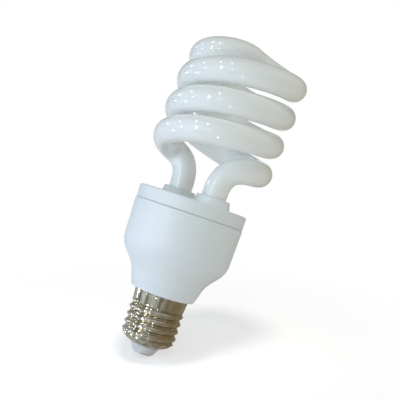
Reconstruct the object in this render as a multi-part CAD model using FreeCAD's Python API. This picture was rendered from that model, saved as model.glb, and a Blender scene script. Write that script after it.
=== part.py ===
"""Spiral energy saving lamp with a 27 mm Edison screw, in millimetres and degrees.

The frame is the lamp's own: +Z runs up the axis of the cap and housing, and the
origin is the middle of the centre contact's face. Headings turn from +X to +Y.
"""
import FreeCAD, Part
import math
import os
from FreeCAD import Placement, Rotation, Vector

# Screw cap
thread_crest_diameter = 26.3
thread_depth = 1.1
thread_pitch = 3.629
thread_turns = 4.4
thread_fade_turns = 0.35
thread_start_heading = 68.9
thread_start_height = 7.7
cap_height = 29.3
shell_wall = 0.35
shell_base_height = 4.0
shell_mouth_diameter = 14.1
bowl_diameter = 21.2
bowl_height = 5.55
bowl_radius = 5.0
skirt_top_diameter = 26.2
stake_count = 18
stake_diameter = 3.2
stake_depth = 0.22
stake_drop = 1.3

# Insulator and centre contact
contact_diameter = 9.2
contact_thickness = 0.4
contact_edge_radius = 0.2
contact_stem_diameter = 3.0
contact_stem_bore = 1.6
contact_flare_diameter = 4.4
contact_flare_thickness = 0.5
insulator_tip_diameter = 10.2
insulator_edge_radius = 0.5
insulator_flange_diameter = 18.0
insulator_flange_thickness = 2.4

# Housing and cover
wall = 1.6
neck_diameter = 31.0
flare_start_diameter = 36.4
flare_start_height = 9.0
shoulder_height = 18.2
housing_diameter = 53.2
housing_height = 39.9
housing_taper = 1.4
flare_radius = 14.0
shoulder_radius = 12.0
edge_radius = 0.6
spigot_length = 4.2
spigot_wall = 1.4
fit_clearance = 0.15
cover_step = 0.2
cover_height = 6.4
cover_edge_radius = 0.9
lip_depth = 5.0
lip_wall = 1.4
snap_count = 4
snap_span = 24.0
snap_reach = 0.45
snap_height = 1.8
snap_drop = 3.0
collar_diameter = 15.6
collar_base_diameter = 17.4
collar_height = 3.7
collar_edge_radius = 0.5
socket_depth = 9.0
socket_wall = 1.0
socket_clearance = 0.55
cement_thickness = 0.9

# Spiral glass tube
tube_diameter = 12.4
turn_gap = 2.2
coil_diameter = 48.4
coil_start_heading = 166.6
coil_start_height = 22.6
coil_sweep = 533.6
coil_point_step = 30.0
spiral_lean = 4.8
spiral_lean_heading = 31.7
leg_diameter = 11.7
leg_heading = 120.0
leg_straight_height = 6.0
leg_depth = 13.0
leg_foot_radius = 3.0
leg_bend_reach = 15.8
coil_bend_reach = 14.8
crown_rise = 7.9
crown_turn = 160.0
crown_outer_reach = 15.2
crown_middle_reach = 12.3

# Circuit board and the ribs that hold it
board_diameter = 43.0
board_thickness = 1.6
board_drop = 17.0
rib_count = 4
rib_heading = 75.0
rib_thickness = 1.6
ledge_width = 2.0
rib_depth = 16.0

# Leads and wires
lead_diameter = 0.7
lead_stickout = 1.0
lead_clearance = 0.1
wire_diameter = 0.8
wire_bend_radius = 2.0
filament_wire_diameter = 0.5
filament_bend_radius = 0.8
filament_spread = 4.0
pin_diameter = 1.0
pin_height = 5.0
pin_circle_diameter = 33.0
pin_spread = 60.0
wrap_turns = 3
wrap_pitch = 0.45
wrap_height = 2.2

# Parts on the board: each place is (x, y) on the board
can_place = (-0.8, 0.0)
can_diameter = 12.5
can_length = 20.0
can_edge_radius = 0.8
can_groove_depth = 0.5
can_groove_drop = 2.6
can_lead_pitch = 5.0
choke_place = (12.2, 0.0)
choke_core_width = 16.0
choke_core_depth = 5.0
choke_core_height = 11.0
choke_yoke = 2.2
choke_middle_leg = 4.0
choke_gap = 0.15
bobbin_wall = 0.7
bobbin_length = 12.0
bobbin_rail = 1.6
bobbin_pin_spread = 8.0
winding_margin = 0.5
winding_corner_radius = 1.4
toroid_place = (-12.5, 7.0)
toroid_diameter = 9.6
toroid_section = 2.8
toroid_wire = 0.6
toroid_groups = 3
toroid_turns = 3
toroid_turn_angle = 22.0
transistor_places = {"high_side": (7.0, -14.0), "low_side": (6.0, 14.0)}
transistor_width = 8.0
transistor_thickness = 2.8
transistor_height = 11.0
transistor_hole = 3.0
transistor_lead_pitch = 2.3
transistor_standoff = 2.5
resonant_place = (-13.5, -5.0)
coupling_place = (-3.0, -14.0)
film_length = 10.0
film_thickness = 4.8
film_height = 8.5
film_corner_radius = 0.7
film_lead_pitch = 7.5
drum_place = (-4.5, 13.5)
drum_diameter = 7.0
drum_height = 8.0
drum_flange = 1.2
drum_core_diameter = 3.4
drum_lead_pitch = 4.0
diac_place = (14.0, -10.6)
diac_diameter = 2.0
diac_length = 4.2
diac_lead_pitch = 7.0
diac_bend_radius = 0.6
thermistor_place = (13.5, 11.5)
thermistor_diameter = 6.0
thermistor_thickness = 3.0
thermistor_lead_pitch = 3.6
seat_gap = 0.1
diode_places = [(-3.0, -4.5), (3.0, -4.5), (-3.0, 4.5), (3.0, 4.5)]
diode_length = 4.2
diode_width = 2.6
diode_height = 2.1
diode_tab_length = 5.2
diode_tab_width = 1.5
diode_tab_height = 1.1
chip_places = [(-4.0, -9.0), (4.0, -9.0), (-4.0, 11.0), (4.0, 11.0)]
chip_length = 3.2
chip_width = 1.6
chip_height = 0.6
fuse_place = (0.0, 8.6)
fuse_diameter = 3.2
fuse_length = 9.0
fuse_top = 27.0
fuse_lead_rise = 4.0
shell_lead_place = (-8.6, 0.0)
shell_lead_drop = 0.7

# Heights and radii that follow from the sizes above
thread_mean_radius = (thread_crest_diameter - thread_depth) / 2
thread_top = thread_start_height + thread_turns * thread_pitch
skirt_bore_radius = thread_mean_radius - shell_wall
seam_height = cap_height + housing_height
cover_top = seam_height + cover_height
shoulder_diameter = housing_diameter - housing_taper
cover_diameter = housing_diameter - 2 * cover_step
spigot_radius = skirt_bore_radius - fit_clearance
spigot_bore_radius = spigot_radius - spigot_wall
spigot_bottom = cap_height - spigot_length
board_top = cover_top - board_drop
board_bottom = board_top - board_thickness
leg_foot = cover_top - leg_depth
coil_pitch = 2 * (tube_diameter + turn_gap)
contact_stem_top = shell_base_height + shell_wall + insulator_flange_thickness
cement_diameter = leg_diameter + 2 * cement_thickness
socket_diameter = cement_diameter + 2 * socket_wall
leg_spacing = housing_diameter - 2 * (wall + socket_clearance) - socket_diameter
strand_headings = {"left": 0.0, "right": 180.0}

up = Vector(0, 0, 1)
board_holes = []


def polar(radius, heading, height=0.0):
    angle = math.radians(heading)
    return Vector(radius * math.cos(angle), radius * math.sin(angle), height)


def rod(x, y, bottom, top, diameter):
    return Part.makeCylinder(diameter / 2, top - bottom, Vector(x, y, bottom))


def block(x, y, bottom, width, depth, height):
    """A box centred on x and y that stands on the height called bottom."""
    return Part.makeBox(width, depth, height, Vector(x - width / 2, y - depth / 2, bottom))


def joined(shapes):
    return shapes[0].multiFuse(shapes[1:]).removeSplitter()


def round_corners(points, radii, closed):
    """Edges through the points, with a tangent arc at each corner that has a radius."""
    count = len(points)
    entries = []
    exits = []
    arcs = []
    for index, (corner, radius) in enumerate(zip(points, radii)):
        if radius == 0 or (not closed and index in (0, count - 1)):
            entries.append(corner)
            exits.append(corner)
            arcs.append(None)
            continue
        back = (points[index - 1] - corner).normalize()
        ahead = (points[(index + 1) % count] - corner).normalize()
        half_angle = back.getAngle(ahead) / 2
        entry = corner + back * (radius / math.tan(half_angle))
        leave = corner + ahead * (radius / math.tan(half_angle))
        bisector = (back + ahead).normalize()
        middle = corner + bisector * (radius / math.sin(half_angle) - radius)
        entries.append(entry)
        exits.append(leave)
        arcs.append(Part.Arc(entry, middle, leave).toShape())
    edges = []
    for index in range(count):
        if arcs[index]:
            edges.append(arcs[index])
        following = (index + 1) % count
        if closed or following:
            if exits[index].distanceToPoint(entries[following]) > 1e-6:
                edges.append(Part.makeLine(exits[index], entries[following]))
    return edges


def turned(corners):
    """Solid turned about Z from (radius, height) corners, or (radius, height, corner radius)."""
    points = [Vector(corner[0], 0, corner[1]) for corner in corners]
    radii = [corner[2] if len(corner) > 2 else 0 for corner in corners]
    outline = Part.Wire(round_corners(points, radii, True))
    return Part.Face(outline).revolve(Vector(), up, 360)


def quartered_circle(centre, normal, diameter):
    """A circle made of four arcs, as the section of a sweep."""
    circle = Part.Circle(centre, normal, diameter / 2)
    quarter = math.pi / 2
    return Part.Wire([Part.ArcOfCircle(circle, k * quarter, (k + 1) * quarter).toShape() for k in range(4)])


def bent_wire(points, bend_radius, diameter):
    """Round wire along straight runs joined by tangent bends."""
    radii = [bend_radius] * len(points)
    path = Part.Wire(round_corners(points, radii, False))
    section = Part.Wire([Part.Circle(points[0], points[1] - points[0], diameter / 2).toShape()])
    return path.makePipeShell([section], True, False)


def board_lead(x, y, bottom):
    """A lead that goes up through its own hole in the board."""
    board_holes.append((x, y, lead_diameter))
    return rod(x, y, bottom, board_top + lead_stickout, lead_diameter)


def thread_surface(radius):
    """Rolled thread: a level circle carried round a small helix that starts and ends on the axis."""
    points_per_turn = 12
    count = round(thread_turns * points_per_turn)
    points = []
    for index in range(count + 1):
        turn = thread_turns * index / count
        fade = min(1.0, turn / thread_fade_turns, (thread_turns - turn) / thread_fade_turns)
        offset = thread_depth / 2 * fade * fade * (3 - 2 * fade)
        height = thread_start_height + thread_pitch * turn
        points.append(polar(offset, thread_start_heading + 360 * turn, height))
    helix = Part.BSplineCurve()
    helix.interpolate(points)
    sweep = Part.BRepOffsetAPI.MakePipeShell(Part.Wire([helix.toShape()]))
    sweep.setTrihedronMode(Vector(), up)
    sweep.add(quartered_circle(points[0], up, 2 * radius))
    sweep.build()
    return sweep.shape()


def skirt():
    """The plain band over the thread, which widens to its rim, with a ring of staking dimples."""
    rim_radius = skirt_top_diameter / 2
    band = turned([
        (skirt_bore_radius, thread_top),
        (thread_mean_radius, thread_top),
        (rim_radius, cap_height),
        (rim_radius - shell_wall, cap_height),
    ])
    punch_height = cap_height - stake_drop
    widening = (rim_radius - thread_mean_radius) / (cap_height - thread_top)
    reach = rim_radius - widening * stake_drop - stake_depth + stake_diameter / 2
    punches = []
    for index in range(stake_count):
        place = polar(reach, 360 * index / stake_count, punch_height)
        punches.append(Part.makeSphere(stake_diameter / 2, place))
    return band.cut(Part.Compound(punches))


def screw_shell():
    """Thin rolled shell, sewn from the faces of its bowl, thread and skirt."""
    mouth = shell_mouth_diameter / 2
    bowl = bowl_diameter / 2
    base = turned([
        (mouth, shell_base_height),
        (bowl, bowl_height, bowl_radius),
        (thread_mean_radius, thread_start_height),
        (skirt_bore_radius, thread_start_height),
        (bowl, bowl_height + shell_wall, bowl_radius - shell_wall),
        (mouth, shell_base_height + shell_wall),
    ])
    joint_heights = (thread_start_height, thread_top)
    faces = thread_surface(thread_mean_radius).Faces + thread_surface(skirt_bore_radius).Faces
    for band in (base, skirt()):
        for face in band.Faces:
            box = face.BoundBox
            level_joint = any(abs(box.Center.z - height) < 1e-4 for height in joint_heights)
            if not (level_joint and box.ZLength < 1e-4):
                faces.append(face)
    skin = Part.makeShell(faces)
    skin.sewShape()
    shell = Part.makeSolid(skin)
    shell.fix(1e-4, 1e-6, 1e-3)
    return shell


def bowl_rise(radius):
    """Height of the bowl's inner face at a radius, between its mouth and its rounded corner."""
    mouth = shell_mouth_diameter / 2
    slope = (bowl_height - shell_base_height) / (bowl_diameter / 2 - mouth)
    return shell_base_height + shell_wall + slope * (radius - mouth)


def base_insulator():
    mouth = shell_mouth_diameter / 2
    flange = insulator_flange_diameter / 2
    stem = contact_stem_diameter / 2
    return turned([
        (stem, contact_thickness),
        (insulator_tip_diameter / 2, contact_thickness, insulator_edge_radius),
        (mouth, shell_base_height),
        (mouth, shell_base_height + shell_wall),
        (flange, bowl_rise(flange)),
        (flange, contact_stem_top),
        (stem, contact_stem_top),
    ])


def centre_contact():
    """Eyelet: a button, a hollow stem through the insulator and a flare that rivets it."""
    bore = contact_stem_bore / 2
    stem = contact_stem_diameter / 2
    flare_top = contact_stem_top + contact_flare_thickness
    return turned([
        (0, 0),
        (contact_diameter / 2, 0, contact_edge_radius),
        (contact_diameter / 2, contact_thickness),
        (stem, contact_thickness),
        (stem, contact_stem_top),
        (contact_flare_diameter / 2, contact_stem_top),
        (contact_flare_diameter / 2, flare_top),
        (bore, flare_top),
        (bore, contact_thickness),
        (0, contact_thickness),
    ])


def inset_line(start, end, distance):
    """The line from start to end moved towards the axis side, as two (radius, height) points."""
    along_r = end[0] - start[0]
    along_z = end[1] - start[1]
    length = math.hypot(along_r, along_z)
    shift_r = -along_z / length * distance
    shift_z = along_r / length * distance
    return (start[0] + shift_r, start[1] + shift_z), (end[0] + shift_r, end[1] + shift_z)


def crossing(first, second):
    """Where two lines given by (radius, height) points cross."""
    (r1, z1), (r2, z2) = first
    (r3, z3), (r4, z4) = second
    bottom = (r1 - r2) * (z3 - z4) - (z1 - z2) * (r3 - r4)
    a = r1 * z2 - z1 * r2
    b = r3 * z4 - z3 * r4
    return (a * (r3 - r4) - (r1 - r2) * b) / bottom, (a * (z3 - z4) - (z1 - z2) * b) / bottom


def at_height(line, height):
    return crossing(line, ((0, height), (1, height)))


def housing_outline():
    """The outside of the housing, from the cap's step up to the parting line."""
    return [
        (neck_diameter / 2, cap_height),
        (flare_start_diameter / 2, cap_height + flare_start_height),
        (shoulder_diameter / 2, cap_height + shoulder_height),
        (housing_diameter / 2, seam_height),
    ]


def housing_bore(height):
    """Inner radius of the housing's upper wall at a height."""
    shoulder, rim = housing_outline()[2:]
    return at_height(inset_line(shoulder, rim, wall), height)[0]


def lip_radius():
    """Outside of the cover's lip, which clears the housing's narrowing wall all the way down."""
    return housing_bore(seam_height - lip_depth) - fit_clearance


def snap_section(clearance):
    """Section of the snap bead on the lip, or with clearance, of the groove that it sits in."""
    middle = seam_height - snap_drop
    half = snap_height / 2 + clearance
    inner = lip_radius() - lip_wall / 2
    tip = housing_bore(middle) + snap_reach + clearance
    return [
        (inner, middle - half),
        (lip_radius() + clearance, middle - half),
        (tip, middle + half / 2),
        (tip, middle + half),
        (inner, middle + half),
    ]


def ballast_housing():
    """Moulded cup with an S-shaped wall, a spigot for the shell, a snap groove and board ribs."""
    neck, flare, shoulder, rim = housing_outline()
    neck_line = inset_line(neck, flare, wall)
    flare_line = inset_line(flare, shoulder, wall)
    rim_line = inset_line(shoulder, rim, wall)
    floor = cap_height + wall
    cup = turned([
        (spigot_bore_radius, spigot_bottom),
        (spigot_radius, spigot_bottom),
        (skirt_top_diameter / 2 - shell_wall - fit_clearance, cap_height),
        (*neck, edge_radius),
        (*flare, flare_radius),
        (*shoulder, shoulder_radius),
        (*rim, edge_radius),
        at_height(rim_line, seam_height),
        (*crossing(flare_line, rim_line), shoulder_radius - wall),
        (*crossing(neck_line, flare_line), flare_radius + wall),
        at_height(neck_line, floor),
        (spigot_bore_radius, floor),
    ])
    outside = turned([
        (0, cap_height),
        neck,
        (*flare, flare_radius),
        (*shoulder, shoulder_radius),
        rim,
        (0, seam_height),
    ])
    ledge = board_diameter / 2 - ledge_width
    rib_length = housing_diameter / 2 - ledge
    ribs = []
    for index in range(rib_count):
        rib = Part.makeBox(rib_length, rib_thickness, rib_depth)
        rib.translate(Vector(ledge, -rib_thickness / 2, board_bottom - rib_depth))
        rib.rotate(Vector(), up, rib_heading + 360 * index / rib_count)
        ribs.append(rib.common(outside))
    return joined([cup.cut(turned(snap_section(fit_clearance)))] + ribs)


def leg_places():
    return {side: polar(leg_spacing / 2, leg_heading + turn) for side, turn in strand_headings.items()}


def tube_cover():
    """Lid with a lip that snaps into the housing, a collar and a socket for each leg, and fins
    that hold the board down."""
    lip = lip_radius()
    bore = lip - lip_wall
    lip_bottom = seam_height - lip_depth
    cup = turned([
        (0, cover_top),
        (cover_diameter / 2, cover_top, cover_edge_radius),
        (cover_diameter / 2, seam_height, edge_radius),
        (lip, seam_height),
        (lip, lip_bottom),
        (bore, lip_bottom),
        (bore, cover_top - wall),
        (0, cover_top - wall),
    ])
    shapes = [cup]
    ring = Part.Face(Part.makePolygon([Vector(r, 0, z) for r, z in snap_section(0) + snap_section(0)[:1]]))
    for index in range(snap_count):
        bead = ring.revolve(Vector(), up, snap_span)
        bead.rotate(Vector(), up, 360 * index / snap_count - snap_span / 2)
        shapes.append(bead)
    fin_inner = board_diameter / 2 - ledge_width
    for index in range(rib_count):
        fin = Part.makeBox(lip - fin_inner - lip_wall / 2, rib_thickness, cover_top - wall - board_top)
        fin.translate(Vector(fin_inner, -rib_thickness / 2, board_top))
        fin.rotate(Vector(), up, rib_heading + 360 * index / rib_count)
        shapes.append(fin)
    collar_top = cover_top + collar_height
    socket_bottom = cover_top - socket_depth
    bores = []
    for place in leg_places().values():
        collar = turned([
            (0, socket_bottom),
            (socket_diameter / 2, socket_bottom),
            (socket_diameter / 2, cover_top - wall),
            (collar_base_diameter / 2, cover_top - wall),
            (collar_base_diameter / 2, cover_top),
            (collar_diameter / 2, collar_top, collar_edge_radius),
            (0, collar_top),
        ])
        collar.translate(place)
        shapes.append(collar)
        bores.append(rod(place.x, place.y, socket_bottom, collar_top, leg_diameter + 2 * fit_clearance))
        bores.append(rod(place.x, place.y, socket_bottom, cover_top - wall, cement_diameter))
    return joined(shapes).cut(Part.Compound(bores))


def tube_cement(place):
    bottom = cover_top - socket_depth
    ring = rod(place.x, place.y, bottom, cover_top - wall, cement_diameter)
    return ring.cut(rod(place.x, place.y, bottom, cover_top - wall, leg_diameter))


def coil_place(sweep, first_heading):
    """Point on a strand's centre line, before the spiral leans."""
    height = cover_top + coil_start_height + coil_pitch * sweep / 360
    return polar(coil_diameter / 2, first_heading + sweep, height)


def coil_direction(sweep, first_heading):
    across = polar(coil_diameter / 2, first_heading + sweep + 90)
    return (across + up * (coil_pitch / (2 * math.pi))).normalize()


def strand(side):
    """Centre line of one strand: its leg, the bend up into the coil, the coil and half of the crown."""
    heading = coil_start_heading + strand_headings[side]
    lean_axis = polar(1, spiral_lean_heading + 90)
    lean = Placement(Vector(), Rotation(lean_axis, spiral_lean), Vector(0, 0, cover_top))
    turn = lean.Rotation.multVec

    leg = [leg_places()[side] + up * height for height in (leg_foot, cover_top + leg_straight_height)]
    start = lean.multVec(coil_place(0, heading))
    start_way = turn(coil_direction(0, heading))
    bend = [leg[1], leg[1] + up * leg_bend_reach, start - start_way * coil_bend_reach, start]

    steps = round(coil_sweep / coil_point_step)
    coil = [lean.multVec(coil_place(coil_sweep * k / steps, heading)) for k in range(steps + 1)]
    end = coil[-1]
    end_way = turn(coil_direction(coil_sweep, heading))

    middle = lean.multVec(up * (coil_place(coil_sweep, heading).z + crown_rise))
    middle_way = turn(polar(1, heading + coil_sweep + 90 + crown_turn))
    crown = [end, end + end_way * crown_outer_reach, middle - middle_way * crown_middle_reach, middle]
    return leg, bend, coil, (start_way, end_way), crown


def cubic(poles):
    curve = Part.BezierCurve()
    curve.setPoles(poles)
    return curve.toShape()


def smooth_curve(points, first_way, last_way):
    curve = Part.BSplineCurve()
    curve.interpolate(Points=points, InitialTangent=first_way, FinalTangent=last_way, Scale=False)
    return curve.toShape()


def spiral_tube():
    """One round tube from foot to foot. Each run starts from the section that the last one ended with."""
    leg, bend, coil, ways, crown = strand("left")
    far_leg, far_bend, far_coil, far_ways, far_crown = strand("right")
    widening = tube_diameter / leg_diameter
    runs = [
        (Part.makeLine(*leg), 1, leg[1]),
        (cubic(bend), widening, coil[0]),
        (smooth_curve(coil, *ways), 1, coil[-1]),
        (cubic(crown), 1, crown[-1]),
        (cubic(far_crown[::-1]), 1, far_crown[0]),
        (smooth_curve(far_coil[::-1], far_ways[1] * -1, far_ways[0] * -1), 1, far_coil[0]),
        (cubic(far_bend[::-1]), 1 / widening, far_leg[1]),
        (Part.makeLine(*far_leg[::-1]), 1, far_leg[0]),
    ]
    section = quartered_circle(leg[0], up, leg_diameter)
    faces = [Part.Face(section)]
    for path, growth, end in runs:
        sweep = Part.BRepOffsetAPI.MakePipeShell(Part.Wire([path]))
        sweep.add(section)
        sweep.build()
        last = sweep.lastShape()
        if growth != 1:
            last = last.scaled(growth, end)
            sweep = Part.BRepOffsetAPI.MakePipeShell(Part.Wire([path]))
            sweep.add(section)
            sweep.add(last)
            sweep.build()
            last = sweep.lastShape()
        faces.extend(sweep.shape().Faces)
        section = last
    faces.append(Part.Face(section))
    skin = Part.makeShell(faces)
    skin.sewShape()
    tube = Part.makeSolid(skin)
    feet = [edge for edge in tube.Edges if edge.BoundBox.ZMax < leg_foot + 1e-3]
    return tube.makeFillet(leg_foot_radius, feet)


def fillet_upright(shape, radius):
    """Round the edges that run up and down."""
    upright = [edge for edge in shape.Edges if abs(edge.tangentAt(edge.FirstParameter).z) > 0.99]
    return shape.makeFillet(radius, upright)


def electrolytic_capacitor():
    radius = can_diameter / 2
    bottom = board_bottom - can_length
    groove = board_bottom - can_groove_drop
    can = turned([
        (0, bottom),
        (radius, bottom, can_edge_radius),
        (radius, groove - can_groove_depth),
        (radius - can_groove_depth, groove),
        (radius, groove + can_groove_depth),
        (radius, board_bottom, can_edge_radius),
        (0, board_bottom),
    ])
    x, y = can_place
    can.translate(Vector(x, y, 0))
    leads = [board_lead(x + side * can_lead_pitch / 2, y, board_bottom) for side in (-1, 1)]
    return joined([can] + leads)


def choke():
    """Two E-shaped core halves on a bobbin, whose rails stand on the board."""
    x, y = choke_place
    top = board_bottom - choke_gap
    bottom = top - choke_core_height
    window = (choke_core_width - choke_middle_leg - 2 * choke_yoke) / 2
    window_shift = (choke_middle_leg + window) / 2
    window_height = choke_core_height - 2 * choke_yoke
    core = block(x, y, bottom, choke_core_depth, choke_core_width, choke_core_height)
    for side in (-1, 1):
        place_y = y + side * window_shift
        core = core.cut(block(x, place_y, bottom + choke_yoke, choke_core_depth, window, window_height))
    half_height = choke_core_height / 2
    lower = block(x, y, bottom, choke_core_depth, choke_core_width, half_height)
    upper = block(x, y, bottom + half_height, choke_core_depth, choke_core_width, half_height)
    bore_x = choke_core_depth + 2 * choke_gap
    bore_y = choke_middle_leg + 2 * choke_gap
    flange_y = choke_middle_leg + 2 * window - 2 * choke_gap
    reel_bottom = bottom + choke_yoke + choke_gap
    reel_height = window_height - 2 * choke_gap
    spool = block(x, y, reel_bottom, bore_x + 2 * bobbin_wall, bore_y + 2 * bobbin_wall, reel_height)
    reel = [spool]
    rail_bottom = reel_bottom + reel_height - bobbin_wall
    for height in (reel_bottom, rail_bottom):
        reel.append(block(x, y, height, bobbin_length, flange_y, bobbin_wall))
    pins = []
    for side in (-1, 1):
        rail_x = x + side * (bobbin_length - bobbin_rail) / 2
        reel.append(block(rail_x, y, rail_bottom, bobbin_rail, flange_y, board_bottom - rail_bottom))
        for end in (-1, 1):
            pins.append(board_lead(rail_x, y + end * bobbin_pin_spread / 2, board_bottom))
    bore = block(x, y, reel_bottom, bore_x, bore_y, reel_height)
    bobbin = joined(reel).cut(bore)
    winding_height = reel_height - 2 * bobbin_wall
    winding = block(
        x, y, reel_bottom + bobbin_wall,
        bobbin_length - 2 * winding_margin, flange_y - 2 * winding_margin, winding_height,
    )
    return {
        "choke_upper_core": core.common(upper),
        "choke_lower_core": core.common(lower),
        "choke_bobbin": joined([bobbin] + pins),
        "choke_winding": fillet_upright(winding, winding_corner_radius).cut(spool),
    }


def drive_transformer():
    """Small ring core with groups of turns, hung from the board by the ends of its windings."""
    x, y = toroid_place
    ring_radius = (toroid_diameter - toroid_section) / 2
    loop_radius = (toroid_section + toroid_wire) / 2 + seat_gap / 2
    height = board_bottom - loop_radius - toroid_wire / 2 - seat_gap
    centre = Vector(x, y, height)
    turns = []
    for group in range(toroid_groups):
        for index in range(toroid_turns):
            heading = 360 * group / toroid_groups + toroid_turn_angle * (index - (toroid_turns - 1) / 2)
            place = centre + polar(ring_radius, heading)
            loop = Part.makeTorus(loop_radius, toroid_wire / 2, place, polar(1, heading + 90))
            if index in (0, toroid_turns - 1):
                end = centre + polar(ring_radius + loop_radius, heading)
                loop = loop.fuse(board_lead(end.x, end.y, height))
            turns.append(loop)
    core = Part.makeTorus(ring_radius, toroid_section / 2, centre)
    return {"drive_toroid": core, "drive_windings": Part.Compound(turns)}


def transistor(place):
    x, y = place
    top = board_bottom - transistor_standoff
    bottom = top - transistor_height
    body = block(x, y, bottom, transistor_width, transistor_thickness, transistor_height)
    hole = Part.makeCylinder(
        transistor_hole / 2,
        transistor_thickness,
        Vector(x, y - transistor_thickness / 2, bottom + transistor_hole),
        Vector(0, 1, 0),
    )
    leads = [board_lead(x + k * transistor_lead_pitch, y, top) for k in (-1, 0, 1)]
    return joined([body.cut(hole)] + leads)


def film_capacitor(place, along_x):
    x, y = place
    bottom = board_bottom - film_height
    width, depth = (film_length, film_thickness) if along_x else (film_thickness, film_length)
    body = fillet_upright(block(x, y, bottom, width, depth, film_height), film_corner_radius)
    leads = []
    for side in (-1, 1):
        shift = side * film_lead_pitch / 2
        leads.append(board_lead(x + shift * along_x, y + shift * (not along_x), board_bottom))
    return joined([body] + leads)


def filter_choke():
    """Drum core with a winding between its flanges."""
    x, y = drum_place
    bottom = board_bottom - drum_height
    outer = drum_diameter / 2
    inner = drum_core_diameter / 2
    drum = turned([
        (0, bottom),
        (outer, bottom),
        (outer, bottom + drum_flange),
        (inner, bottom + drum_flange),
        (inner, board_bottom - drum_flange),
        (outer, board_bottom - drum_flange),
        (outer, board_bottom),
        (0, board_bottom),
    ])
    drum.translate(Vector(x, y, 0))
    leads = [board_lead(x + side * drum_lead_pitch / 2, y, board_bottom) for side in (-1, 1)]
    waist = (bottom + drum_flange, board_bottom - drum_flange)
    winding = rod(x, y, *waist, drum_diameter - 2 * winding_margin)
    core = rod(x, y, *waist, drum_core_diameter)
    return {"filter_choke_core": joined([drum] + leads), "filter_choke_winding": winding.cut(core)}


def trigger_diac():
    """Axial glass body that lies along the board, with its leads bent up."""
    x, y = diac_place
    height = board_bottom - diac_diameter / 2 - seat_gap
    start = Vector(x - diac_length / 2, y, height)
    body = Part.makeCylinder(diac_diameter / 2, diac_length, start, Vector(1, 0, 0))
    leads = []
    for side in (-1, 1):
        corner = x + side * diac_lead_pitch / 2
        board_holes.append((corner, y, lead_diameter))
        route = [
            Vector(x + side * diac_length / 2, y, height),
            Vector(corner, y, height),
            Vector(corner, y, board_top + lead_stickout),
        ]
        leads.append(bent_wire(route, diac_bend_radius, lead_diameter))
    return joined([body] + leads)


def start_thermistor():
    x, y = thermistor_place
    height = board_bottom - thermistor_diameter / 2 - seat_gap
    start = Vector(x - thermistor_thickness / 2, y, height)
    disc = Part.makeCylinder(thermistor_diameter / 2, thermistor_thickness, start, Vector(1, 0, 0))
    leads = [board_lead(x, y + side * thermistor_lead_pitch / 2, height) for side in (-1, 1)]
    return joined([disc] + leads)


def rectifier_diode(place):
    x, y = place
    body = block(x, y, board_top + seat_gap, diode_length, diode_width, diode_height - seat_gap)
    tabs = block(x, y, board_top, diode_tab_length, diode_tab_width, diode_tab_height)
    belly = block(x, y, board_top, diode_length, diode_tab_width, seat_gap)
    return joined([body, tabs]).cut(belly)


def chip_resistor(place):
    return block(*place, board_top, chip_length, chip_width, chip_height)


def fuse_resistor():
    """Wire-ended resistor in the neck, whose lower lead runs down into the contact's eyelet."""
    x, y = fuse_place
    bottom = fuse_top - fuse_length
    turn_height = contact_stem_top + contact_flare_thickness + fuse_lead_rise
    route = [
        Vector(x, y, bottom),
        Vector(x, y, turn_height),
        Vector(0, 0, turn_height),
        Vector(0, 0, contact_thickness),
    ]
    return joined([
        rod(x, y, bottom, fuse_top, fuse_diameter),
        board_lead(x, y, fuse_top),
        bent_wire(route, wire_bend_radius, lead_diameter),
    ])


def shell_lead():
    """Wire from the board to the inside of the shell's skirt, under the housing's spigot."""
    x, y = shell_lead_place
    board_holes.append((x, y, wire_diameter))
    foot = spigot_bottom - shell_lead_drop
    outward = Vector(x, y, 0).normalize() * skirt_bore_radius
    route = [Vector(x, y, board_top + lead_stickout), Vector(x, y, foot), outward + up * foot]
    return bent_wire(route, wire_bend_radius / 2, wire_diameter)


def pin_and_lead(side, hand):
    """One post on the board, and the tube's wire that is wrapped round it."""
    leg = leg_places()[side]
    heading = math.degrees(math.atan2(leg.y, leg.x))
    post = polar(pin_circle_diameter / 2, heading + hand * pin_spread / 2)
    board_holes.append((post.x, post.y, pin_diameter))
    pin = rod(post.x, post.y, board_bottom, board_top + pin_height, pin_diameter)

    wrap_radius = (pin_diameter + filament_wire_diameter + seat_gap) / 2
    height = board_top + wrap_height
    start = leg + polar(filament_spread / 2, heading + hand * 90)
    run = post - start
    stop = post - run * (wrap_radius / run.Length)
    route = [start + up * leg_foot, start + up * height, stop + up * height]
    turns = []
    for index in range(wrap_turns):
        place = post + up * (height - index * wrap_pitch)
        turns.append(Part.makeTorus(wrap_radius, filament_wire_diameter / 2, place))
    lead = bent_wire(route, filament_bend_radius, filament_wire_diameter)
    return pin, joined([lead] + turns)


def circuit_board():
    board = rod(0, 0, board_bottom, board_top, board_diameter)
    holes = []
    for x, y, diameter in board_holes:
        holes.append(rod(x, y, board_bottom, board_top, diameter + 2 * lead_clearance))
    return board.cut(Part.Compound(holes))


pieces = {
    "spiral_tube": spiral_tube(),
    "tube_cover": tube_cover(),
    "ballast_housing": ballast_housing(),
    "screw_shell": screw_shell(),
    "base_insulator": base_insulator(),
    "centre_contact": centre_contact(),
    "electrolytic_capacitor": electrolytic_capacitor(),
    "resonant_capacitor": film_capacitor(resonant_place, False),
    "coupling_capacitor": film_capacitor(coupling_place, True),
    "trigger_diac": trigger_diac(),
    "start_thermistor": start_thermistor(),
    "fuse_resistor": fuse_resistor(),
    "shell_lead": shell_lead(),
    **choke(),
    **drive_transformer(),
    **filter_choke(),
}
for side, place in leg_places().items():
    pieces[f"{side}_tube_cement"] = tube_cement(place)
for side, place in transistor_places.items():
    pieces[f"{side}_transistor"] = transistor(place)
for number, place in enumerate(diode_places, 1):
    pieces[f"rectifier_diode_{number}"] = rectifier_diode(place)
for number, place in enumerate(chip_places, 1):
    pieces[f"chip_resistor_{number}"] = chip_resistor(place)
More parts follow.
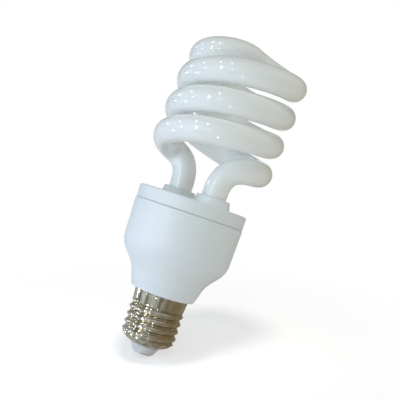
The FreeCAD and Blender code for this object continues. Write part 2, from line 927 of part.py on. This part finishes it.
for number, (side, hand) in enumerate([("left", 1), ("left", -1), ("right", 1), ("right", -1)], 1):
    pieces[f"wrap_pin_{number}"], pieces[f"filament_lead_{number}"] = pin_and_lead(side, hand)
pieces["circuit_board"] = circuit_board()

os.makedirs("parts", exist_ok=True)
for name, shape in pieces.items():
    shape.exportStep(f"parts/{name}.step")
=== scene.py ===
"""Looks of a spiral energy saving lamp: its finishes, the studio round it and the photograph's view.

Lengths and places are in metres, in the lamp's own frame: +Z runs up the axis of the cap and housing.
"""

import math

import bpy
from mathutils import Euler, Matrix, Vector


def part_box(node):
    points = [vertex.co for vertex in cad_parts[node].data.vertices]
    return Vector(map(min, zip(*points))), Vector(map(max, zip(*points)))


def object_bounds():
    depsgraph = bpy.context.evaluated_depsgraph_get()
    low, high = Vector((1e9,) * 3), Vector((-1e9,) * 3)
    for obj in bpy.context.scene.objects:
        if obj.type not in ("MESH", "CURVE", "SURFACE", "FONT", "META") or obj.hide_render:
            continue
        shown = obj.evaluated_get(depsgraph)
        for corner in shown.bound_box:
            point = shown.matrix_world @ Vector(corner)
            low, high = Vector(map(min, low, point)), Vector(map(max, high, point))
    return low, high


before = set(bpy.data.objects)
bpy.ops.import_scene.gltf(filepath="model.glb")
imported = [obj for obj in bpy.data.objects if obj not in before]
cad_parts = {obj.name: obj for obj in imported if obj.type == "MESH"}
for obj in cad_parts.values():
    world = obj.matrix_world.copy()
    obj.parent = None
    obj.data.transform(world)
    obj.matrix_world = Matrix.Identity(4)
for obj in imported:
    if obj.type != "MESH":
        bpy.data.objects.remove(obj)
cad_low, cad_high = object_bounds()

scene = bpy.context.scene
scene.view_settings.view_transform = "Standard"

# View: the photograph's frame is square, and the lamp leans to the right in it
frame_pixels = 400
focal_pixels = 664.95
sensor_millimetres = 36.0
camera_place = Vector((0.00279, -0.31583, 0.06893))
camera_tilt = math.radians(91.43)
camera_roll = math.radians(18.67)
camera_turn = Euler((camera_tilt, 0, 0)).to_matrix() @ Matrix.Rotation(camera_roll, 3, "Z")
nearest_seen = 0.01

# Shared grain of all finishes: soft clouds, with a finer grain over them
cloud_detail = 3.0
cloud_limits = (0.32, 0.68)
cloud_share = 0.7
grain_detail = 2.0
grain_share = 0.3
grain_height = 0.0001
roughness_limits = (0.15, 0.85)

# Faint wave of the tube's glass wall
glass_wave_scale = 160.0
glass_wave_detail = 1.0
glass_wave_strength = 0.04
glass_wave_height = 0.0002

# Joint between housing and lid, with painted shade along it
joint_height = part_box("ballast_housing")[1].z
joint_shade_width = 0.0005
joint_shade_strength = 0.4
joint_shade_tint = (0.50, 0.51, 0.49)

# Plating of the screw shell: tarnished in patches where the radius is small, and rolled in fine lines
tarnished_radius = 0.01215
bright_radius = 0.01300
tarnish_tint = (0.46, 0.405, 0.29)
least_tarnish = 0.35
most_tarnish = 0.9
most_tarnish_cloud = 0.8
rolling_lines_per_metre = 5200.0
rolling_line_detail = 2.0
rolling_line_strength = 0.12
rolling_line_height = 0.0001

# Stripe down the -X side of the large capacitor
stripe_full = -0.0062
stripe_end = -0.0060
stripe_tint = (0.55, 0.56, 0.58)

# Turns of the windings
winding_scale = 900.0
winding_unevenness = 0.4
winding_relief = 0.6
winding_height = 0.0002

# Studio: a direction is in the camera's frame, as degrees from its back towards its right, and up
key_direction = (25, 74)
key_distance = 1.0
key_strength = 0.75
key_angle = 11.0
fill_direction = (-65, 3)
fill_distance = 0.25
fill_size = 0.2
fill_power = 0.33
fill_tint = (0.68, 0.82, 1.0)
glint_directions = [
    (-108, 27), (-84, 43), (-46, 54), (-17, 47), (-113, 4),
    (-70, 10), (-41, 4), (-21, 4), (-90, -13), (-15, -46),
]
glint_distance = 1.0
glint_size = (0.04, 0.09)
glint_power = 0.48
streak_direction = (-40, 14)
streak_size = (0.04, 0.3)
streak_power = 1.0

# Room that lights the lamp: its right and left, top and bottom, camera side and far side
room_sides = (
    ((0.60, 0.63, 0.565), (0.13, 0.16, 0.21)),
    ((0.03, 0.03, 0.03), (0.55, 0.46, 0.42)),
    ((0.74, 0.83, 0.85), (0.70, 0.70, 0.63)),
)

# Room that gloss and metal mirror: each kind of patch at the left and at the right
patch_scale = 4.0
patch_detail = 1.0
patch_limits = (0.40, 0.54)
dark_patch = ((0.10, 0.11, 0.11), (0.22, 0.175, 0.10))
light_patch = ((0.66, 0.71, 0.71), (0.26, 0.21, 0.13))

# White backdrop, and the cosines of the cone behind the lamp in which reflections show it
white = (1.0, 1.0, 1.0)
mirrored_backdrop = (0.93, 0.97)

# Floor: it fades out between two shares of its radius, and only the camera sees its lift
lowest_nodes = ("centre_contact", "base_insulator", "screw_shell")
floor_slope = 10.0
floor_radius = 0.18
floor_rim_points = 64
floor_fade = (0.4, 0.95)
floor_tint = (0.93, 0.88, 0.86)
floor_lift = 0.405


def rgb(red, green, blue):
    return (red, green, blue, 1.0)


def add(tree, kind, inputs=None, **settings):
    """A new node with its settings. An input is a value, or the output of another node."""
    node = tree.nodes.new(kind)
    for name, value in settings.items():
        setattr(node, name, value)
    for name, value in (inputs or {}).items():
        if isinstance(value, bpy.types.NodeSocket):
            tree.links.new(value, node.inputs[name])
        else:
            node.inputs[name].default_value = value
    return node


def maths(tree, operation, first, second=0.0, clamp=False):
    node = add(tree, "ShaderNodeMath", {0: first, 1: second}, operation=operation, use_clamp=clamp)
    return node.outputs["Value"]


def vectors(tree, operation, inputs, result="Vector"):
    return add(tree, "ShaderNodeVectorMath", inputs, operation=operation).outputs[result]


def ranged(tree, value, low, high, new_low=0.0, new_high=1.0):
    """The value mapped smoothly from one range to another."""
    node = add(tree, "ShaderNodeMapRange", {
        "Value": value, "From Min": low, "From Max": high, "To Min": new_low, "To Max": new_high,
    }, interpolation_type="SMOOTHSTEP")
    return node.outputs["Result"]


def blended(tree, factor, first, second):
    """A colour between two. A Mix node takes colours at inputs 6 and 7, and gives one at output 2."""
    node = add(tree, "ShaderNodeMix", {"Factor": factor, 6: first, 7: second}, data_type="RGBA")
    return node.outputs[2]


def mixed_shaders(tree, factor, first, second):
    return add(tree, "ShaderNodeMixShader", {0: factor, 1: first, 2: second}).outputs["Shader"]


def object_place(tree):
    return add(tree, "ShaderNodeTexCoord").outputs["Object"]


def split(tree, place):
    return add(tree, "ShaderNodeSeparateXYZ", {"Vector": place}).outputs


def noise(tree, place, scale, detail):
    node = add(tree, "ShaderNodeTexNoise", {"Vector": place, "Scale": scale, "Detail": detail})
    return node.outputs["Fac"]


def bump(tree, height, strength, distance, normal=None):
    """A normal raised by a height, over another normal if one is given."""
    inputs = {"Height": height, "Strength": strength, "Distance": distance}
    if normal:
        inputs["Normal"] = normal
    return add(tree, "ShaderNodeBump", inputs).outputs["Normal"]


def grain_group():
    """Shared effect: a cloudy change between two tints, and a fine grain in roughness and relief."""
    group = bpy.data.node_groups.new("cloud_and_grain", "ShaderNodeTree")
    for name, kind in (
        ("Tint", "Color"), ("Second Tint", "Color"), ("Cloud Scale", "Float"), ("Grain Scale", "Float"),
        ("Smoothest", "Float"), ("Roughest", "Float"), ("Relief", "Float"),
    ):
        group.interface.new_socket(name, in_out="INPUT", socket_type=f"NodeSocket{kind}")
    for name, kind in (("Color", "Color"), ("Roughness", "Float"), ("Normal", "Vector"), ("Cloud", "Float")):
        group.interface.new_socket(name, in_out="OUTPUT", socket_type=f"NodeSocket{kind}")
    given = add(group, "NodeGroupInput").outputs
    place = object_place(group)
    cloud = ranged(group, noise(group, place, given["Cloud Scale"], cloud_detail), *cloud_limits)
    grain = noise(group, place, given["Grain Scale"], grain_detail)
    mixture = maths(
        group, "ADD",
        maths(group, "MULTIPLY", cloud, cloud_share), maths(group, "MULTIPLY", grain, grain_share),
    )
    add(group, "NodeGroupOutput", {
        "Color": blended(group, mixture, given["Tint"], given["Second Tint"]),
        "Roughness": ranged(group, mixture, *roughness_limits, given["Smoothest"], given["Roughest"]),
        "Normal": bump(group, grain, given["Relief"], grain_height),
        "Cloud": cloud,
    })
    return group


class Finish:
    """A material with its surface shader and the shared grain. Several nodes may wear the same one.

    Further keywords are values for the shader's own sockets, with _ for a space.
    """

    def __init__(self, name, tints, cloud_scale, grain_scale, roughness, relief, **surface):
        self.material = bpy.data.materials.new(name)
        self.material.use_nodes = True
        self.tree = self.material.node_tree
        self.tree.nodes.clear()
        self.grain = add(self.tree, "ShaderNodeGroup", node_tree=shared_grain)
        for socket, value in (
            ("Tint", rgb(*tints[0])), ("Second Tint", rgb(*tints[1])),
            ("Cloud Scale", cloud_scale), ("Grain Scale", grain_scale),
            ("Smoothest", roughness[0]), ("Roughest", roughness[1]), ("Relief", relief),
        ):
            self.grain.inputs[socket].default_value = value
        given = self.grain.outputs
        self.shader = add(self.tree, "ShaderNodeBsdfPrincipled", {
            "Base Color": given["Color"], "Roughness": given["Roughness"], "Normal": given["Normal"],
        })
        for socket, value in surface.items():
            self.shader.inputs[socket.replace("_", " ")].default_value = value
        add(self.tree, "ShaderNodeOutputMaterial", {"Surface": self.shader.outputs["BSDF"]})

    def feed(self, socket, value):
        """Link an output into the shader, in place of any link that is there."""
        self.tree.links.new(value, self.shader.inputs[socket])

    def tint_over(self, factor, tint):
        """Lay another tint over the grain's own, where the factor says."""
        self.feed("Base Color", blended(self.tree, factor, self.grain.outputs["Color"], rgb(*tint)))


def coated_glass():
    """White powder coating seen through a clear, faintly wavy glass wall."""
    finish = Finish(
        "coated_glass", tints=((0.945, 0.94, 0.912), (0.92, 0.92, 0.89)), cloud_scale=95.0,
        grain_scale=2600.0, roughness=(0.42, 0.55), relief=0.04,
        Coat_Weight=1.0, Coat_Roughness=0.08, Coat_IOR=1.5,
    )
    wave = noise(finish.tree, object_place(finish.tree), glass_wave_scale, glass_wave_detail)
    finish.feed("Coat Normal", bump(finish.tree, wave, glass_wave_strength, glass_wave_height))
    return finish.material


def white_plastic():
    """Moulded white plastic, with painted shade along the joint between housing and lid."""
    finish = Finish(
        "white_plastic", tints=((0.82, 0.84, 0.838), (0.80, 0.82, 0.818)), cloud_scale=70.0,
        grain_scale=3200.0, roughness=(0.36, 0.46), relief=0.10, IOR=1.46,
    )
    tree = finish.tree
    height = split(tree, object_place(tree))["Z"]
    away = maths(tree, "ABSOLUTE", maths(tree, "SUBTRACT", height, joint_height))
    # Painted shade: a grey band along the joint between housing and lid
    finish.tint_over(ranged(tree, away, 0.0, joint_shade_width, joint_shade_strength, 0.0), joint_shade_tint)
    return finish.material


def nickel_plate():
    """Bright plating on rolled brass: browner in the roots of the thread, with fine rolling lines."""
    finish = Finish(
        "nickel_plate", tints=((0.72, 0.70, 0.65), (0.63, 0.595, 0.51)), cloud_scale=240.0,
        grain_scale=1600.0, roughness=(0.05, 0.15), relief=0.14, Metallic=1.0,
    )
    tree = finish.tree
    axes = split(tree, object_place(tree))
    across = add(tree, "ShaderNodeCombineXYZ", {"X": axes["X"], "Y": axes["Y"]}).outputs["Vector"]
    radius = vectors(tree, "LENGTH", {0: across}, "Value")
    root = ranged(tree, radius, tarnished_radius, bright_radius, 1.0, 0.0)
    cloud = finish.grain.outputs["Cloud"]
    patchy = ranged(tree, cloud, 0.0, most_tarnish_cloud, least_tarnish, most_tarnish)
    finish.tint_over(maths(tree, "MULTIPLY", root, patchy), tarnish_tint)
    lines = add(tree, "ShaderNodeTexNoise", {
        "W": maths(tree, "MULTIPLY", axes["Z"], rolling_lines_per_metre),
        "Scale": 1.0, "Detail": rolling_line_detail,
    }, noise_dimensions="1D")
    finish.feed("Normal", bump(
        tree, lines.outputs["Fac"], rolling_line_strength, rolling_line_height,
        finish.grain.outputs["Normal"],
    ))
    return finish.material


def pale_insulator():
    """Pale insulator in the mouth of the screw shell."""
    return Finish(
        "pale_insulator", tints=((0.72, 0.715, 0.735), (0.68, 0.675, 0.695)), cloud_scale=300.0,
        grain_scale=2600.0, roughness=(0.32, 0.5), relief=0.2,
    ).material


def contact_metal():
    """Dull metal of the centre contact and of the posts on the board."""
    return Finish(
        "contact_metal", tints=((0.50, 0.46, 0.40), (0.36, 0.32, 0.27)), cloud_scale=420.0,
        grain_scale=3000.0, roughness=(0.32, 0.55), relief=0.3, Metallic=1.0,
    ).material


def cement():
    """Set cement round the legs of the tube."""
    return Finish(
        "cement", tints=((0.80, 0.79, 0.74), (0.70, 0.69, 0.64)), cloud_scale=500.0,
        grain_scale=1800.0, roughness=(0.8, 0.95), relief=1.0,
    ).material


def board_laminate():
    """Brown paper laminate of the circuit board."""
    return Finish(
        "board_laminate", tints=((0.46, 0.33, 0.16), (0.36, 0.25, 0.12)), cloud_scale=350.0,
        grain_scale=2400.0, roughness=(0.45, 0.65), relief=0.4,
    ).material


def dark_sleeve():
    """Shrink sleeve of the large capacitor, with a pale stripe down one side."""
    finish = Finish(
        "dark_sleeve", tints=((0.035, 0.04, 0.07), (0.05, 0.055, 0.085)), cloud_scale=200.0,
        grain_scale=2600.0, roughness=(0.22, 0.34), relief=0.1,
    )
    sideways = split(finish.tree, object_place(finish.tree))["X"]
    finish.tint_over(ranged(finish.tree, sideways, stripe_full, stripe_end, 1.0, 0.0), stripe_tint)
    return finish.material


def film_case():
    """Dipped red-brown case of the film capacitors."""
    return Finish(
        "film_case", tints=((0.42, 0.10, 0.045), (0.34, 0.075, 0.035)), cloud_scale=300.0,
        grain_scale=1500.0, roughness=(0.2, 0.36), relief=0.3,
    ).material


def ferrite():
    """Dark ferrite of the chokes' and the ring transformer's cores."""
    return Finish(
        "ferrite", tints=((0.075, 0.075, 0.08), (0.045, 0.045, 0.05)), cloud_scale=500.0,
        grain_scale=2800.0, roughness=(0.5, 0.72), relief=0.6,
    ).material


def bobbin_plastic():
    """Black moulded bobbin of the choke."""
    return Finish(
        "bobbin_plastic", tints=((0.05, 0.05, 0.05), (0.035, 0.035, 0.036)), cloud_scale=260.0,
        grain_scale=2600.0, roughness=(0.4, 0.55), relief=0.3,
    ).material


def copper_wire():
    """Lacquered copper laid in close turns."""
    finish = Finish(
        "copper_wire", tints=((0.60, 0.27, 0.11), (0.46, 0.18, 0.07)), cloud_scale=300.0,
        grain_scale=2600.0, roughness=(0.2, 0.36), relief=0.1, Metallic=1.0,
        Coat_Weight=0.5, Coat_Roughness=0.15,
    )
    tree = finish.tree
    turns = add(tree, "ShaderNodeTexWave", {
        "Vector": object_place(tree), "Scale": winding_scale, "Distortion": winding_unevenness,
    }, wave_type="BANDS", bands_direction="Z")
    finish.feed("Normal", bump(
        tree, turns.outputs["Fac"], winding_relief, winding_height, finish.grain.outputs["Normal"],
    ))
    return finish.material


def small_component():
    """Tan body of the fuse resistor, the thermistor and the diac."""
    return Finish(
        "small_component", tints=((0.52, 0.46, 0.34), (0.44, 0.38, 0.28)), cloud_scale=400.0,
        grain_scale=2600.0, roughness=(0.3, 0.5), relief=0.2,
    ).material


def black_package():
    """Black moulded body of the transistors, diodes and chip resistors."""
    return Finish(
        "black_package", tints=((0.03, 0.03, 0.032), (0.042, 0.042, 0.044)), cloud_scale=500.0,
        grain_scale=3200.0, roughness=(0.45, 0.62), relief=0.4,
    ).material


def wire_sleeve():
    """Red sleeve of the wire to the screw shell."""
    return Finish(
        "wire_sleeve", tints=((0.55, 0.06, 0.05), (0.46, 0.05, 0.04)), cloud_scale=300.0,
        grain_scale=2400.0, roughness=(0.34, 0.5), relief=0.2,
    ).material


def lead_wire():
    """Bare tinned wires of the tube."""
    return Finish(
        "lead_wire", tints=((0.66, 0.65, 0.63), (0.52, 0.51, 0.49)), cloud_scale=500.0,
        grain_scale=2600.0, roughness=(0.22, 0.4), relief=0.2, Metallic=1.0,
    ).material


def photograph_camera():
    """Camera fitted to the photograph's view."""
    view = bpy.data.cameras.new("view")
    view.sensor_width = sensor_millimetres
    view.lens = sensor_millimetres * focal_pixels / frame_pixels
    view.clip_start = nearest_seen
    camera = bpy.data.objects.new("camera", view)
    camera.matrix_world = Matrix.Translation(camera_place) @ camera_turn.to_4x4()
    scene.collection.objects.link(camera)
    return camera


def seen_from_camera(heading, height):
    """A direction given in the camera's frame, in the lamp's frame."""
    across = math.radians(heading)
    above = math.radians(height)
    return camera_turn @ Vector((
        math.sin(across) * math.cos(above), math.sin(above), math.cos(across) * math.cos(above),
    ))


def facing(direction):
    """A turn that points +Z along a direction."""
    return direction.to_track_quat("Z", "Y").to_matrix().to_4x4()


def light(name, data, direction, distance):
    """A studio light out along a direction from the middle of the lamp, turned to face it."""
    away = seen_from_camera(*direction)
    middle = (cad_low + cad_high) / 2
    studio_light = bpy.data.objects.new(name, data)
    studio_light.matrix_world = Matrix.Translation(middle + away * distance) @ facing(away)
    scene.collection.objects.link(studio_light)
    return studio_light


def key_light():
    """Sun from above, which throws the shadow on the floor and isn't mirrored."""
    sun = bpy.data.lights.new("key", "SUN")
    sun.energy = key_strength
    sun.angle = math.radians(key_angle)
    light("key", sun, key_direction, key_distance).visible_glossy = False


def fill_light():
    """Cool disc close by on the left, which throws no shadow and isn't mirrored."""
    disc = bpy.data.lights.new("fill", "AREA")
    disc.shape = "DISK"
    disc.size = fill_size
    disc.energy = fill_power
    disc.color = fill_tint
    disc.use_shadow = False
    studio_light = light("fill", disc, fill_direction, fill_distance)
    studio_light.visible_glossy = False
    studio_light.visible_camera = False


def glint_light(number, direction, size, power):
    """Small light that only shows as a glint on gloss and metal."""
    small = bpy.data.lights.new(f"glint_{number}", "AREA")
    small.shape = "ELLIPSE"
    small.size, small.size_y = size
    small.energy = power
    studio_light = light(f"glint_{number}", small, direction, glint_distance)
    studio_light.visible_diffuse = False
    studio_light.visible_camera = False


def soft_room(tree, reaches):
    """Soft light from six sides, each weighted by how far a direction reaches towards it."""
    room_light = (0.0, 0.0, 0.0)
    for reach, (near_side, opposite_side) in zip(reaches, room_sides):
        ahead = maths(tree, "GREATER_THAN", reach, 0.0)
        side = blended(tree, ahead, rgb(*opposite_side), rgb(*near_side))
        share = maths(tree, "MULTIPLY", reach, reach)
        glow = vectors(tree, "SCALE", {0: side, "Scale": share})
        room_light = vectors(tree, "ADD", {0: room_light, 1: glow})
    return add(tree, "ShaderNodeBackground", {"Color": room_light}).outputs["Background"]


def patchy_room(tree, way, rightward):
    """Room as gloss and metal mirror it: cool pale and dark patches on the left, calm brown on the right."""
    patches = ranged(tree, noise(tree, way, patch_scale, patch_detail), *patch_limits)
    rightness = ranged(tree, rightward, -1.0, 1.0)
    dark, pale = (
        blended(tree, rightness, rgb(*left), rgb(*right)) for left, right in (dark_patch, light_patch)
    )
    colour = blended(tree, patches, dark, pale)
    return add(tree, "ShaderNodeBackground", {"Color": colour}).outputs["Background"]


def studio_world():
    """Soft room for light, patchy room for reflections, and a white backdrop for what is looked at.

    Clear material shows the backdrop too, and reflections show it straight behind the lamp.
    """
    world = bpy.data.worlds.new("studio")
    world.use_nodes = True
    tree = world.node_tree
    tree.nodes.clear()
    way = add(tree, "ShaderNodeTexCoord").outputs["Generated"]
    rightward, upward, cameraward = (
        vectors(tree, "DOT_PRODUCT", {0: way, 1: axis}, "Value") for axis in camera_turn.col
    )
    rays = add(tree, "ShaderNodeLightPath").outputs
    soft = soft_room(tree, (rightward, upward, cameraward))
    patchy = patchy_room(tree, way, rightward)
    room = mixed_shaders(tree, rays["Is Glossy Ray"], soft, patchy)
    behind = ranged(tree, maths(tree, "MULTIPLY", cameraward, -1.0), *mirrored_backdrop)
    mirrored = maths(tree, "MULTIPLY", rays["Is Glossy Ray"], behind)
    looked_at = maths(tree, "ADD", rays["Is Camera Ray"], rays["Is Transmission Ray"])
    seen = maths(tree, "ADD", looked_at, mirrored, clamp=True)
    backdrop = add(tree, "ShaderNodeBackground", {"Color": rgb(*white), "Strength": 1.0})
    add(tree, "ShaderNodeOutputWorld", {
        "Surface": mixed_shaders(tree, seen, room, backdrop.outputs["Background"]),
    })
    return world


def pale_floor():
    """Pale paint that fades into the backdrop, and is clear from below so that it never hides the lamp."""
    material = bpy.data.materials.new("pale_floor")
    material.use_nodes = True
    tree = material.node_tree
    tree.nodes.clear()
    paint = add(tree, "ShaderNodeBsdfDiffuse", {"Color": rgb(*floor_tint)}).outputs["BSDF"]
    lift = maths(tree, "MULTIPLY", add(tree, "ShaderNodeLightPath").outputs["Is Camera Ray"], floor_lift)
    glow = add(tree, "ShaderNodeEmission", {"Color": rgb(*white), "Strength": lift}).outputs["Emission"]
    lit = add(tree, "ShaderNodeAddShader", {0: paint, 1: glow}).outputs["Shader"]
    clear = add(tree, "ShaderNodeBsdfTransparent").outputs["BSDF"]
    distance = vectors(tree, "LENGTH", {0: object_place(tree)}, "Value")
    fade_start, fade_end = (share * floor_radius for share in floor_fade)
    near = ranged(tree, distance, fade_start, fade_end, 1.0, 0.0)
    above = maths(tree, "SUBTRACT", 1.0, add(tree, "ShaderNodeNewGeometry").outputs["Backfacing"])
    shown = maths(tree, "MULTIPLY", near, above)
    add(tree, "ShaderNodeOutputMaterial", {"Surface": mixed_shaders(tree, shown, clear, lit)})
    return material


def floor_disc():
    """Round floor under the lamp's tip: level across the photograph, sloping down to the camera."""
    slope = math.radians(floor_slope)
    floor_up = camera_turn @ Vector((0, math.cos(slope), math.sin(slope)))
    lowest = min(
        floor_up.dot(point.co) for name in lowest_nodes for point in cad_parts[name].data.vertices
    )
    rim_step = 2 * math.pi / floor_rim_points
    rim = [
        (floor_radius * math.cos(k * rim_step), floor_radius * math.sin(k * rim_step), 0)
        for k in range(floor_rim_points)
    ]
    mesh = bpy.data.meshes.new("floor")
    mesh.from_pydata(rim, [], [list(range(floor_rim_points))])
    mesh.materials.append(pale_floor())
    disc = bpy.data.objects.new("floor", mesh)
    disc.matrix_world = Matrix.Translation(floor_up * lowest) @ facing(floor_up)
    disc.visible_glossy = False
    scene.collection.objects.link(disc)
    return disc


# Lamp: each node wears the finish that its slot names
shared_grain = grain_group()
finishes = {make.__name__: make() for make in (
    coated_glass, white_plastic, nickel_plate, pale_insulator, contact_metal, cement, board_laminate,
    dark_sleeve, film_case, ferrite, bobbin_plastic, copper_wire, small_component, black_package,
    wire_sleeve, lead_wire,
)}
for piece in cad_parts.values():
    for slot in piece.material_slots:
        slot.material = finishes[slot.material.name.split(".")[0]]

# Studio round it
scene.camera = photograph_camera()
key_light()
fill_light()
glints = [(direction, glint_size, glint_power) for direction in glint_directions]
glints.append((streak_direction, streak_size, streak_power))
for number, glint in enumerate(glints, 1):
    glint_light(number, *glint)
scene.world = studio_world()
floor = floor_disc()
